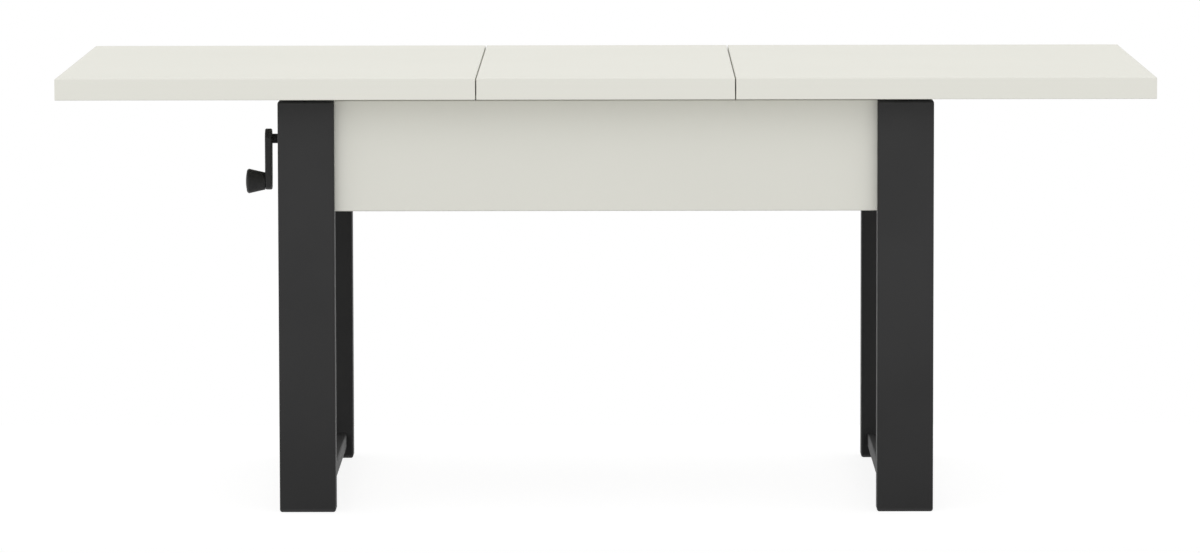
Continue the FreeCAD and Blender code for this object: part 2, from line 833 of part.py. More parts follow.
# Knob: turned piece that flares from its neck to a domed end with a small flat in its middle
knob = doc.addObject("PartDesign::Body", "knob_body")
knob_sketch = sketch_on(knob, "knob_sketch", "XZ_Plane")
KNOB_POINTS = (
    ("dome_middle", "knob_length", "0"),
    ("dome_top", "knob_length", "knob_flat"),
    ("rim_edge", "knob_length - knob_dome", "knob_radius - knob_rim"),
    ("flare_edge", "knob_length - knob_rim", "knob_radius"),
    ("neck_edge", "slide_play", "knob_neck"),
    ("neck_bore", "slide_play", "pin_radius + running_play"),
    ("bore_edge", "pin_depth + running_play", "pin_radius + running_play"),
    ("bore_end", "pin_depth + running_play", "0"),
)


def worked_out(text):
    total = 0
    for term in text.replace("- ", "+ -").split("+ "):
        word = term.strip().lstrip("-")
        sign = -1 if term.startswith("-") else 1
        total += sign * (size(word) if word in SIZES else float(word))
    return total


spots = [Vector(worked_out(along), worked_out(out), 0) for _, along, out in KNOB_POINTS]
dome_middle, dome_top, rim_edge, flare_edge = spots[:4]
dome_bulge = Vector(dome_top.x - size("knob_dome") / 4, (dome_top.y + rim_edge.y) / 2, 0)
rim_depth = rim_edge.x - flare_edge.x
rim_bulge = Vector(rim_edge.x - 0.29 * rim_depth, rim_edge.y + 0.71 * size("knob_rim"), 0)
knob_outline = [
    Part.LineSegment(dome_middle, dome_top),
    Part.Arc(dome_top, dome_bulge, rim_edge),
    Part.Arc(rim_edge, rim_bulge, flare_edge),
]
for spot, following in zip(spots[3:], spots[4:] + spots[:1]):
    knob_outline.append(Part.LineSegment(spot, following))
knob_sketch.addGeometry(knob_outline, False)
for number in range(len(spots)):
    before = (number - 1) % len(spots)
    knob_sketch.addConstraint(Sketcher.Constraint("Coincident", before, 2, number, 1))
for number, (name, along, out) in enumerate(KNOB_POINTS):
    spot = spots[number]
    named_constraint(knob_sketch, f"{name}_along", along, "DistanceX", -1, 1, number, 1, spot.x)
    if out == "0":
        knob_sketch.addConstraint(Sketcher.Constraint("PointOnObject", number, 1, -1))
    else:
        named_constraint(knob_sketch, f"{name}_out", out, "DistanceY", -1, 1, number, 1, spot.y)
knob_turning = knob.newObject("PartDesign::Revolution", "knob_turning")
knob_turning.Profile = knob_sketch
knob_turning.ReferenceAxis = (knob_sketch, ["H_Axis"])
knob_turning.Angle = 360
knob.Placement = FreeCAD.Placement(Vector(), FreeCAD.Rotation(Z_AXIS, 180))
place(knob, (f"-{ARM_IN} - arm_thickness", "0", KNOB_Z))
node(knob, "knob")


# Cross shafts, each with a gear at its middle and one at each end
def cross_shaft(end, apex, middle_side):
    reach = f"({LEG_Y} - {GEAR_NEAR})"
    shaft = rod(
        f"cross_{end}", "shaft_radius", f"2 * {reach}", (apex[0], f"-{reach}", apex[2]), Y_AXIS
    )
    node(shaft, f"cross_shaft_{end}")
    middle = gear(f"cross_gear_{end}_middle", apex, middle_side, True)
    front = gear(f"cross_gear_{end}_front", (apex[0], f"-{LEG_Y}", apex[2]), Y_AXIS, False)
    rear = gear(f"cross_gear_{end}_rear", (apex[0], LEG_Y, apex[2]), -Y_AXIS, False)
    node(group(f"cross_gear_{end}", [middle, front, rear]), f"cross_gears_{end}")


cross_shaft("left", LEFT_APEX, -Y_AXIS)
cross_shaft("right", RIGHT_APEX, Y_AXIS)

# Main shaft along the table with a gear at each end
main_reach = f"({SCREW_X} - {GEAR_NEAR})"
node(
    rod("main", "shaft_radius", f"2 * {main_reach}", (f"-{main_reach}", "0", CRANK_Z), X_AXIS),
    "main_shaft",
)
main_gears = [
    gear("main_gear_left", LEFT_APEX, X_AXIS, False),
    gear("main_gear_right", RIGHT_APEX, -X_AXIS, False),
]
node(group("main_gear_pair", main_gears), "main_gears")

# Lead screws with journals at both ends and a gear on top
journal_low = f"{LOW_BEARING_TOP} - bearing_height"
lead = fuse(
    "lead",
    rod(
        "lead_thread",
        "lead_radius",
        f"{LEAD_TOP} - {LEAD_LOW}",
        (f"-{SCREW_X}", f"-{LEG_Y}", LEAD_LOW),
        Z_AXIS,
    ),
    rod(
        "lead_journal",
        "shaft_radius",
        f"{CRANK_Z} - {GEAR_NEAR} - ({journal_low})",
        (f"-{SCREW_X}", f"-{LEG_Y}", journal_low),
        Z_AXIS,
    ),
)
SIGNS = ((-1, -1), (1, -1), (-1, 1), (1, 1))
for place_name, piece, (x_side, y_side) in zip(LEG_NAMES, corners("lead", lead), SIGNS):
    node(piece, f"lead_screw_{place_name}")
    apex = (f"({x_side}) * {SCREW_X}", f"({y_side}) * {LEG_Y}", CRANK_Z)
    node(gear(f"lead_gear_{place_name}", apex, -Z_AXIS, True), f"screw_gear_{place_name}")

# Nut carriers at the feet of the posts, with the lead nuts in them
carrier_block = span(
    "carrier_block",
    (f"-{POST_X} - post_size / 2", f"-{LEG_Y} - leg_depth / 2 + leg_wall + 0.5", CARRIER_LOW),
    (f"-{LEG_INNER_X} - leg_wall - 2", f"-{LEG_Y} + leg_depth / 2 - leg_wall - 0.5", CARRIER_TOP),
)
nut_start = (f"-{SCREW_X}", f"-{LEG_Y}", CARRIER_LOW)
nut_hole = rod("nut_hole", "nut_radius + press_play", "carrier_height", nut_start, Z_AXIS)
carrier = cut("carrier", carrier_block, nut_hole)
node(group("carriers", corners("carrier", carrier)), "nut_carriers")
nut = cut(
    "nut",
    rod("nut_body", "nut_radius", "carrier_height", nut_start, Z_AXIS),
    rod("nut_bore", "lead_radius + nut_play", "carrier_height", nut_start, Z_AXIS),
)
node(group("nuts", corners("nut", nut)), "lead_nuts")

# Lift posts: square tubes from the carriers to the bridges
post_height = f"{BRIDGE_LOW} - {CARRIER_TOP}"
post_centre = (f"-{POST_X}", f"-{LEG_Y}", f"({BRIDGE_LOW} + {CARRIER_TOP}) / 2")
post_bore_side = "post_size - 2 * post_wall"
post = cut(
    "post",
    block("post_block", ("post_size", "post_size", post_height), post_centre),
    block("post_bore", (post_bore_side, post_bore_side, post_height), post_centre),
)
for place_name, piece in zip(LEG_NAMES, corners("post", post)):
    node(piece, f"lift_post_{place_name}")

# Rail screws join the slide rails to the bridges
RAIL_LOW = f"({UNDERSIDE} - rail_height)"
SLOT_LOW = f"({UNDERSIDE} - rail_lip - slot_height)"
rail_screw_level = f"({RAIL_LOW} + {SLOT_LOW}) / 2"
rail_screws = []
rail_holes = []
flange_holes = []
for number, side in enumerate((-1, 1)):
    head_at = (
        f"-{BRIDGE_IN} - bridge_thickness",
        f"-rail_place + ({side}) * slot_pitch / 2",
        rail_screw_level,
    )
    head = screw_head(f"rail_screw_{number}", head_at, -X_AXIS)
    shank = rod(f"rail_screw_{number}_shank", "screw_shank", "2 * screw_length", head_at, X_AXIS)
    rail_screws.append(fuse(f"rail_screw_{number}", head, shank))
    rail_holes.append(
        rod(f"rail_hole_{number}", "screw_shank + press_play", "2 * screw_length + 1", head_at, X_AXIS)
    )
    flange_holes.append(
        rod(f"flange_hole_{number}", "screw_hole", "2 * bridge_thickness", head_at, X_AXIS)
    )
rail_screw_set = group("rail_screw_set", rail_screws)
node(group("rail_screw_sets", corners("rail_screw_set", rail_screw_set)), "rail_screws")

# Bridges: flat plates over the posts with a flange that hangs between the legs
bridge_plate = span(
    "bridge_plate",
    (f"-{BRIDGE_OUT}", f"-{LEG_Y} - post_size / 2", BRIDGE_LOW),
    (f"-{BRIDGE_IN}", f"{LEG_Y} + post_size / 2", UNDERSIDE),
)
bridge_flange = span(
    "bridge_flange",
    (f"-{BRIDGE_IN} - bridge_thickness", f"-{LEG_INNER_Y} + 5", f"{BRIDGE_LOW} - bridge_flange"),
    (f"-{BRIDGE_IN}", f"{LEG_INNER_Y} - 5", BRIDGE_LOW),
)
bridge_body = fuse("bridge_body", bridge_plate, bridge_flange)
flange_front_holes = fuse("flange_front_holes", *flange_holes)
flange_rear_holes = mirror("flange_rear_holes", flange_front_holes, Y_AXIS)
bridge = node(cut("bridge", bridge_body, flange_front_holes, flange_rear_holes), "bridge_left")
node(mirror("bridge_copy", bridge, X_AXIS), "bridge_right")


# Slide rails with two undercut slots each, one for each half's runner
def slot_space(name, y, low_x, high_x, play, bottom):
    neck = span(
        f"{name}_neck",
        (low_x, f"{y} - slot_neck / 2 + {play}", f"{UNDERSIDE} - rail_lip - {play}"),
        (high_x, f"{y} + slot_neck / 2 - {play}", UNDERSIDE),
    )
    head = span(
        f"{name}_head",
        (low_x, f"{y} - slot_width / 2 + {play}", bottom),
        (high_x, f"{y} + slot_width / 2 - {play}", f"{UNDERSIDE} - rail_lip - {play}"),
    )
    return fuse(f"{name}_space", neck, head)


rail_bar = span(
    "rail_bar",
    (f"-{BRIDGE_IN}", "-rail_place - rail_width / 2", RAIL_LOW),
    (BRIDGE_IN, "-rail_place + rail_width / 2", UNDERSIDE),
)
LEFT_SLOT = "(-rail_place - slot_pitch / 2)"
RIGHT_SLOT = "(-rail_place + slot_pitch / 2)"
left_slot = slot_space("left_slot", LEFT_SLOT, f"-{BRIDGE_IN}", BRIDGE_IN, "0", SLOT_LOW)
right_slot = slot_space("right_slot", RIGHT_SLOT, f"-{BRIDGE_IN}", BRIDGE_IN, "0", SLOT_LOW)
rail_left_holes = fuse("rail_left_holes", *rail_holes)
rail_right_holes = mirror("rail_right_holes", rail_left_holes, X_AXIS)
rail = node(
    cut("rail", rail_bar, left_slot, right_slot, rail_left_holes, rail_right_holes), "slide_rail_front"
)
node(mirror("rail_copy", rail, Y_AXIS), "slide_rail_rear")


# A board of the top, whose upright corners are a little rounder than its edges
def top_board(name, length, middle):
    sides = (length, "top_depth", "top_thickness")
    board = block(f"{name}_block", sides, (middle, "0", "table_height - top_thickness / 2"))
    board = rounded(f"{name}_corners", board, size("top_corner"), upright)
    return rounded(f"{name}_board", board, size("board_round"), level)


# One half of the top: board, two runners and the screws between them
def table_half(end, side, slot):
    outer = f"({side}) * runner_outer"
    inner = f"-({side}) * runner_inner"
    low_x, high_x = (outer, inner) if side < 0 else (inner, outer)
    bar = slot_space(f"runner_{end}", slot, low_x, high_x, "slide_play", f"{SLOT_LOW} + slide_play")
    screws = []
    holes = []
    pilots = []
    for number in range(3):
        name = f"runner_{end}_{number}"
        shoulder = (
            f"({side}) * (runner_outer - 15 - {number} * runner_screw_pitch)",
            slot,
            f"{UNDERSIDE} - rail_lip - 4",
        )
        head = screw_head(name, shoulder, -Z_AXIS)
        shank = rod(f"{name}_shank", "screw_shank", "rail_lip + 4 + runner_grip", shoulder, Z_AXIS)
        screws.append(fuse(f"{name}_screw", head, shank))
        holes.append(rod(f"{name}_hole", "screw_hole", "rail_lip + 5", shoulder, Z_AXIS))
        holes.append(rod(f"{name}_sink", "screw_head + 0.2", "slot_height", shoulder, -Z_AXIS))
        depth = "rail_lip + 4.5 + runner_grip"
        pilots.append(rod(f"{name}_pilot", "screw_shank + press_play", depth, shoulder, Z_AXIS))
    runner = cut(f"runner_{end}", bar, *holes)
    node(runner, f"runner_{end}_front")
    node(mirror(f"runner_{end}_copy", runner, Y_AXIS), f"runner_{end}_rear")
    screw_row = group(f"runner_{end}_screws", screws)
    screw_copy = mirror(f"runner_{end}_screws_copy", screw_row, Y_AXIS)
    node(group(f"runner_{end}_screw_rows", [screw_row, screw_copy]), f"runner_screws_{end}")
    board = top_board(f"half_{end}", HALF_LENGTH, f"({side}) * {HALF_X}")
    front_pilots = fuse(f"half_{end}_pilots", *pilots)
    rear_pilots = mirror(f"half_{end}_pilots_copy", front_pilots, Y_AXIS)
    node(cut(f"half_{end}", board, front_pilots, rear_pilots), f"top_half_{end}")


table_half("left", -1, LEFT_SLOT)
table_half("right", 1, RIGHT_SLOT)

# Loose leaf between the halves
node(top_board("leaf", "leaf_length", "0"), "top_leaf")

# Every piece must be sound before any is written
doc.recompute()
for obj in doc.Objects:
    if "Invalid" in obj.State or "Error" in obj.State:
        raise RuntimeError(f"{obj.Label} failed: {obj.State}")
for obj in nodes:
    if obj.Shape.isNull() or not obj.Shape.isValid():
        raise RuntimeError(f"{obj.Label} has no sound shape")
os.makedirs("parts", exist_ok=True)
for obj in nodes:
    obj.Shape.exportStep(f"parts/{obj.Label}.step")
    print(f"{obj.Label}: {len(obj.Shape.Solids)} solids, {obj.Shape.Volume / 1000:.2f} cm3")
print(f"{len(nodes)} pieces")
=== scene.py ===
import json
import math

import bmesh
import bpy
from mathutils import Matrix, Vector


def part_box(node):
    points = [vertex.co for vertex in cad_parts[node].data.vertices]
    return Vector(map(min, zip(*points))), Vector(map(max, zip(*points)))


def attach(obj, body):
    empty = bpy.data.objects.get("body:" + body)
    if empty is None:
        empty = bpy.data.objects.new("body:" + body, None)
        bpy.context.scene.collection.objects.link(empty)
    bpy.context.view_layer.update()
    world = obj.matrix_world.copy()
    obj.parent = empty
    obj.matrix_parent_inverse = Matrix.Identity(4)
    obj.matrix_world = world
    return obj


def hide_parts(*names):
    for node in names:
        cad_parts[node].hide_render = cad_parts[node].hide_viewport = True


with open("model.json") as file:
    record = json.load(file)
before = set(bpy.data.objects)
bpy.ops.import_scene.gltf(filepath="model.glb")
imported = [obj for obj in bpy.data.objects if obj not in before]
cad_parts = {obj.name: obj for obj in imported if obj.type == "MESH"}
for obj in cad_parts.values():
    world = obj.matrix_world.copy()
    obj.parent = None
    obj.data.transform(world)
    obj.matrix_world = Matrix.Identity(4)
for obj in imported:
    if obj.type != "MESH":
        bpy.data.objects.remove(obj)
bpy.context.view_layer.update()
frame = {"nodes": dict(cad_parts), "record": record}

# Colours as linear RGB
CASHMERE = (0.79, 0.785, 0.72)
ANTHRACITE = (0.0356, 0.0355, 0.0358)
BLACK = (0.014, 0.014, 0.0145)
ZINC = (0.60, 0.61, 0.62)
ZINC_OXIDE = (0.46, 0.45, 0.41)
STEEL = (0.50, 0.50, 0.50)
GEAR_STEEL = (0.33, 0.33, 0.34)
BRONZE = (0.52, 0.35, 0.18)
ALLOY = (0.70, 0.70, 0.715)
CHIP_LIGHT = (0.52, 0.39, 0.25)
CHIP_DARK = (0.30, 0.20, 0.115)
WHITE = (1.0, 1.0, 1.0)

# Boards, in metres
EDGE_BAND = 0.001
GLUE_LINE = 0.00012

# How close the pattern of each finish lies, in cells per metre
LAMINATE_CLOUD = 5.0
LAMINATE_GRAIN = 1500.0
CHIP_COARSE = 240.0
CHIP_FINE = 900.0
CHIP_FIBRE = 420.0
COAT_CLOUD = 9.0
LEG_COAT_GRAIN = 1100.0
PLATE_COAT_GRAIN = 900.0
PLASTIC_HAZE = 40.0
PLASTIC_GRAIN = 2600.0
ZINC_SMEAR = 60.0
ZINC_CRYSTAL = 160.0
METAL_FILM = 35.0
GEAR_GRAIN = 800.0
THREAD_GRAIN = 600.0
BRONZE_PATINA = 70.0
BRONZE_PORE = 1500.0

# The same along X, Y and Z, for the lines of extruded metal and the rings of turned metal
LINES_X = (12.0, 1400.0, 1400.0)
RINGS_X = (2600.0, 120.0, 120.0)
RINGS_Y = (120.0, 2600.0, 120.0)
RINGS_Z = (120.0, 120.0, 2600.0)

# Relief of each finish, in metres
LAMINATE_RELIEF = 0.00002
CHIP_RELIEF = 0.00012
COAT_RELIEF = 0.00006
PLASTIC_RELIEF = 0.00004
ZINC_RELIEF = 0.00008
TURNED_RELIEF = 0.00002
LINE_RELIEF = 0.00003
PORE_RELIEF = -0.00005

# Spans of a source's values: what noise fills, and the whole range
NOISE_SPAN = (0.3, 0.7)
WHOLE_SPAN = (0.0, 1.0)

# Lead screws; profile points are shares of the lead and of the thread's depth, the run-out is in leads
SCREW_LEAD = 0.005
THREAD_DEPTH = 0.0015
THREAD_PROFILE = ((0.0, 0.0), (0.17, 0.0), (0.33, 1.0), (0.67, 1.0), (0.83, 0.0))
THREAD_RUN_OUT = 2
RIGHT_HAND, LEFT_HAND = 1, -1
SCREW_SIDES = 24
JOURNAL_RADIUS = 0.004
JOURNAL_BEVEL = 0.0005
SHARP_EDGE = math.radians(30)

# Camera, as the photograph was taken; lens and sensor in millimetres
CAMERA_PLACE = (0.0188, -9.0785, 1.1614)
CAMERA_YAW = math.radians(0.1743)
CAMERA_PITCH = math.radians(5.531)
CAMERA_ROLL = math.radians(-0.1011)
CAMERA_LENS = 200.95
SENSOR_WIDTH = 36.0
CLIP_END = 200.0

# Studio
AMBIENT = 0.95
FLOOR_COLOUR = (0.22, 0.22, 0.22)
FLOOR_GLOW = 0.86
FLOOR_HALF = (1.1, 0.65)
LAMP_POWER = 5.0

# A mix node's colour sockets come after its sockets for numbers and vectors
FIRST_COLOUR, SECOND_COLOUR = 6, 7
MIXED_COLOUR = 2


def tint(colour, share=1.0):
    return tuple(share * part for part in colour) + (1.0,)


def even(scale):
    return (scale, scale, scale)


# Short ways to write a material's nodes
class Nodes:
    def __init__(self, tree):
        self.tree = tree

    def add(self, kind, **settings):
        node = self.tree.nodes.new(kind)
        for name, value in settings.items():
            setattr(node, name, value)
        return node

    def link(self, source, target):
        self.tree.links.new(source, target)

    def math(self, operation, *values):
        node = self.add("ShaderNodeMath", operation=operation)
        for socket, value in zip(node.inputs, values):
            if isinstance(value, (int, float)):
                socket.default_value = value
            else:
                self.link(value, socket)
        return node.outputs[0]

    def position(self):
        return self.add("ShaderNodeTexCoord").outputs["Object"]

    # Noise whose scale, in cells per metre, may differ along each axis
    def noise(self, scale, detail=2.0, roughness=0.5):
        mapping = self.add("ShaderNodeMapping")
        mapping.inputs["Scale"].default_value = scale
        self.link(self.position(), mapping.inputs["Vector"])
        noise = self.add("ShaderNodeTexNoise")
        noise.inputs["Scale"].default_value = 1.0
        noise.inputs["Detail"].default_value = detail
        noise.inputs["Roughness"].default_value = roughness
        self.link(mapping.outputs["Vector"], noise.inputs["Vector"])
        return noise.outputs["Fac"]

    def cells(self, scale):
        voronoi = self.add("ShaderNodeTexVoronoi")
        voronoi.inputs["Scale"].default_value = scale
        self.link(self.position(), voronoi.inputs["Vector"])
        return voronoi.outputs

    # Separate random values for each cell
    def cell_values(self, scale):
        parts = self.add("ShaderNodeSeparateColor")
        self.link(self.cells(scale)["Color"], parts.inputs[0])
        return parts.outputs

    # A value between two ends as a source runs through a span
    def between(self, source, low=0.0, high=1.0, span=NOISE_SPAN):
        node = self.add("ShaderNodeMapRange")
        node.inputs["From Min"].default_value = span[0]
        node.inputs["From Max"].default_value = span[1]
        node.inputs["To Min"].default_value = low
        node.inputs["To Max"].default_value = high
        self.link(source, node.inputs["Value"])
        return node.outputs["Result"]

    def mix(self, factor, first, second):
        node = self.add("ShaderNodeMix", data_type="RGBA")
        self.link(factor, node.inputs["Factor"])
        for index, value in ((FIRST_COLOUR, first), (SECOND_COLOUR, second)):
            if isinstance(value, tuple):
                node.inputs[index].default_value = value
            else:
                self.link(value, node.inputs[index])
        return node.outputs[MIXED_COLOUR]

    def bump(self, height, distance, strength):
        node = self.add("ShaderNodeBump")
        node.inputs["Distance"].default_value = distance
        node.inputs["Strength"].default_value = strength
        self.link(height, node.inputs["Height"])
        return node.outputs["Normal"]


# A new material with its main shader's fixed values set
def surface(name, **fixed):
    material = bpy.data.materials.new(name)
    material.use_nodes = True
    shader = material.node_tree.nodes["Principled BSDF"]
    for socket, value in fixed.items():
        shader.inputs[socket.replace("_", " ")].default_value = value
    return material, Nodes(material.node_tree), shader.inputs


# How far a point of a board lies from the nearest of its four narrow sides
def distance_to_side(nodes, node):
    low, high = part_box(node)
    middle, half = (low + high) / 2, (high - low) / 2
    thickness_axis = min(range(3), key=lambda axis: half[axis])
    parts = nodes.add("ShaderNodeSeparateXYZ")
    nodes.link(nodes.position(), parts.inputs[0])
    inset = []
    for axis in range(3):
        if axis != thickness_axis:
            offset = nodes.math("ABSOLUTE", nodes.math("SUBTRACT", parts.outputs[axis], middle[axis]))
            inset.append(nodes.math("SUBTRACT", half[axis], offset))
    return nodes.math("MINIMUM", *inset)


# Matt laminate with a thin edge band; the glue line shows on the broad faces of the board
def laminate(name, node):
    material, nodes, shader = surface(name, Metallic=0.0, Specular_IOR_Level=0.1)
    to_side = distance_to_side(nodes, node)
    glue = nodes.math("COMPARE", to_side, EDGE_BAND, GLUE_LINE)
    band = nodes.math("LESS_THAN", to_side, EDGE_BAND)
    cloud = nodes.between(nodes.noise(even(LAMINATE_CLOUD), detail=3.0))
    grain = nodes.noise(even(LAMINATE_GRAIN), detail=3.0, roughness=0.6)
    fleck = nodes.between(grain, high=0.05)
    colour = nodes.mix(cloud, tint(CASHMERE, 0.988), tint(CASHMERE))
    colour = nodes.mix(fleck, colour, tint(CASHMERE, 0.6))
    colour = nodes.mix(nodes.math("MULTIPLY", band, 0.6), colour, tint(CASHMERE, 0.985))
    colour = nodes.mix(nodes.math("MULTIPLY", glue, 0.5), colour, tint(CASHMERE, 0.45))
    nodes.link(colour, shader["Base Color"])
    face_roughness = nodes.between(grain, low=0.62, high=0.72)
    roughness = nodes.math("SUBTRACT", face_roughness, nodes.math("MULTIPLY", band, 0.1))
    nodes.link(roughness, shader["Roughness"])
    nodes.link(nodes.bump(grain, LAMINATE_RELIEF, strength=0.6), shader["Normal"])
    return material


# Bare chipboard: coarse and fine flakes of several browns
def chipboard(name):
    material, nodes, shader = surface(name, Metallic=0.0, Specular_IOR_Level=0.3)
    coarse = nodes.cell_values(CHIP_COARSE)
    fine = nodes.cell_values(CHIP_FINE)
    fibre = nodes.noise(even(CHIP_FIBRE), detail=5.0, roughness=0.65)
    flakes = nodes.math("ADD", nodes.math("MULTIPLY", coarse[0], 0.45), fine[0])
    brownness = nodes.between(flakes, span=(0.15, 1.3))
    colour = nodes.mix(brownness, tint(CHIP_LIGHT, 1.1), tint(CHIP_DARK))
    colour = nodes.mix(nodes.between(fibre, high=0.6), colour, tint(CHIP_LIGHT, 0.95))
    nodes.link(colour, shader["Base Color"])
    nodes.link(nodes.between(fibre, low=0.75, high=0.92), shader["Roughness"])
    nodes.link(nodes.bump(fine[1], CHIP_RELIEF, strength=0.5), shader["Normal"])
    return material


# Powder coat: a fine even grain with slightly shinier peaks
def powder_coat(name, colour, grain_scale, roughness):
    material, nodes, shader = surface(name, Metallic=0.0, Specular_IOR_Level=0.12)
    grain = nodes.noise(even(grain_scale), detail=3.0, roughness=0.55)
    cloud = nodes.between(nodes.noise(even(COAT_CLOUD)))
    shade = nodes.mix(cloud, tint(colour, 0.94), tint(colour, 1.06))
    shade = nodes.mix(nodes.between(grain, high=0.25), shade, tint(colour, 1.5))
    nodes.link(shade, shader["Base Color"])
    nodes.link(nodes.between(grain, low=roughness + 0.06, high=roughness - 0.06), shader["Roughness"])
    nodes.link(nodes.bump(grain, COAT_RELIEF, strength=0.5), shader["Normal"])
    return material


# Moulded plastic: a fine spark-eroded grain
def moulded(name):
    material, nodes, shader = surface(name, Metallic=0.0, Specular_IOR_Level=0.45)
    grain = nodes.cells(PLASTIC_GRAIN)["Distance"]
    haze = nodes.between(nodes.noise(even(PLASTIC_HAZE), detail=3.0))
    nodes.link(nodes.mix(haze, tint(BLACK, 0.9), tint(BLACK, 1.15)), shader["Base Color"])
    nodes.link(nodes.between(grain, low=0.42, high=0.54, span=(0.0, 0.8)), shader["Roughness"])
    nodes.link(nodes.bump(grain, PLASTIC_RELIEF, strength=0.4), shader["Normal"])
    return material


# Zinc plate with the faint crystals of its coating
def zinc_plate(name):
    material, nodes, shader = surface(name, Metallic=1.0)
    crystal = nodes.cell_values(ZINC_CRYSTAL)
    smear = nodes.noise(even(ZINC_SMEAR), detail=5.0)
    colour = nodes.mix(crystal[0], tint(ZINC, 0.86), tint(ZINC, 1.06))
    colour = nodes.mix(nodes.between(smear, high=0.3), colour, tint(ZINC_OXIDE))
    nodes.link(colour, shader["Base Color"])
    nodes.link(nodes.between(crystal[1], low=0.30, high=0.46, span=WHOLE_SPAN), shader["Roughness"])
    nodes.link(nodes.bump(smear, ZINC_RELIEF, strength=0.3), shader["Normal"])
    return material


# Metal with fine lines: scale gives how close they lie along each axis
def lined_metal(name, colour, scale, roughness, relief=LINE_RELIEF):
    material, nodes, shader = surface(name, Metallic=1.0)
    lines = nodes.noise(scale, detail=4.0, roughness=0.6)
    film = nodes.between(nodes.noise(even(METAL_FILM), detail=4.0), high=0.35)
    shade = nodes.mix(nodes.between(lines), tint(colour, 0.9), tint(colour, 1.06))
    shade = nodes.mix(film, shade, tint(colour, 0.74))
    nodes.link(shade, shader["Base Color"])
    nodes.link(nodes.between(lines, low=roughness - 0.07, high=roughness + 0.07), shader["Roughness"])
    nodes.link(nodes.bump(lines, relief, strength=0.5), shader["Normal"])
    return material


# Turned steel, with its rings along the axis of the shaft
def turned_steel(name, rings):
    return lined_metal(name, STEEL, rings, roughness=0.30, relief=TURNED_RELIEF)


# Sintered bronze with small dark pores
def sintered(name):
    material, nodes, shader = surface(name, Metallic=1.0)
    pore = nodes.between(nodes.cells(BRONZE_PORE)["Distance"], low=1.0, high=0.0, span=(0.05, 0.25))
    patina = nodes.between(nodes.noise(even(BRONZE_PATINA), detail=4.0), high=0.6)
    colour = nodes.mix(patina, tint(BRONZE), tint(BRONZE, 0.68))
    colour = nodes.mix(nodes.math("MULTIPLY", pore, 0.7), colour, tint(BRONZE, 0.2))
    nodes.link(colour, shader["Base Color"])
    nodes.link(nodes.between(pore, low=0.34, high=0.6, span=WHOLE_SPAN), shader["Roughness"])
    nodes.link(nodes.bump(pore, PORE_RELIEF, strength=0.6), shader["Normal"])
    return material


def paint(node, material):
    for slot in frame["nodes"][node].material_slots:
        slot.material = material


# Every node gets the finish of its slot; a board's and a shaft's also follow how the node lies
def paint_all():
    shared = {
        "raw_board": chipboard("raw_chipboard"),
        "leg_paint": powder_coat("anthracite_powder_coat", ANTHRACITE, LEG_COAT_GRAIN, roughness=0.52),
        "dark_plate": powder_coat("black_powder_coat", BLACK, PLATE_COAT_GRAIN, roughness=0.5),
        "black_plastic": moulded("black_moulded_plastic"),
        "zinc_plate": zinc_plate("zinc_plate"),
        "gear_steel": lined_metal("cut_gear_steel", GEAR_STEEL, even(GEAR_GRAIN), roughness=0.40),
        "bronze": sintered("sintered_bronze"),
        "rail_alloy": lined_metal("extruded_rail_alloy", ALLOY, LINES_X, roughness=0.40),
        "runner_alloy": lined_metal("extruded_runner_alloy", ALLOY, LINES_X, roughness=0.34),
    }
    turned = {
        "cross": turned_steel("turned_steel_across", RINGS_Y),
        "lead": turned_steel("turned_steel_upright", RINGS_Z),
    }
    turned_along = turned_steel("turned_steel_along", RINGS_X)
    for subpart in frame["record"]["subparts"]:
        node, slot = subpart["node"], subpart["material_slot"]
        if slot in ("top_laminate", "box_laminate"):
            paint(node, laminate(f"laminate_{node}", node))
        elif slot == "shaft_steel":
            paint(node, turned.get(node.split("_")[0], turned_along))
        else:
            paint(node, shared[slot])


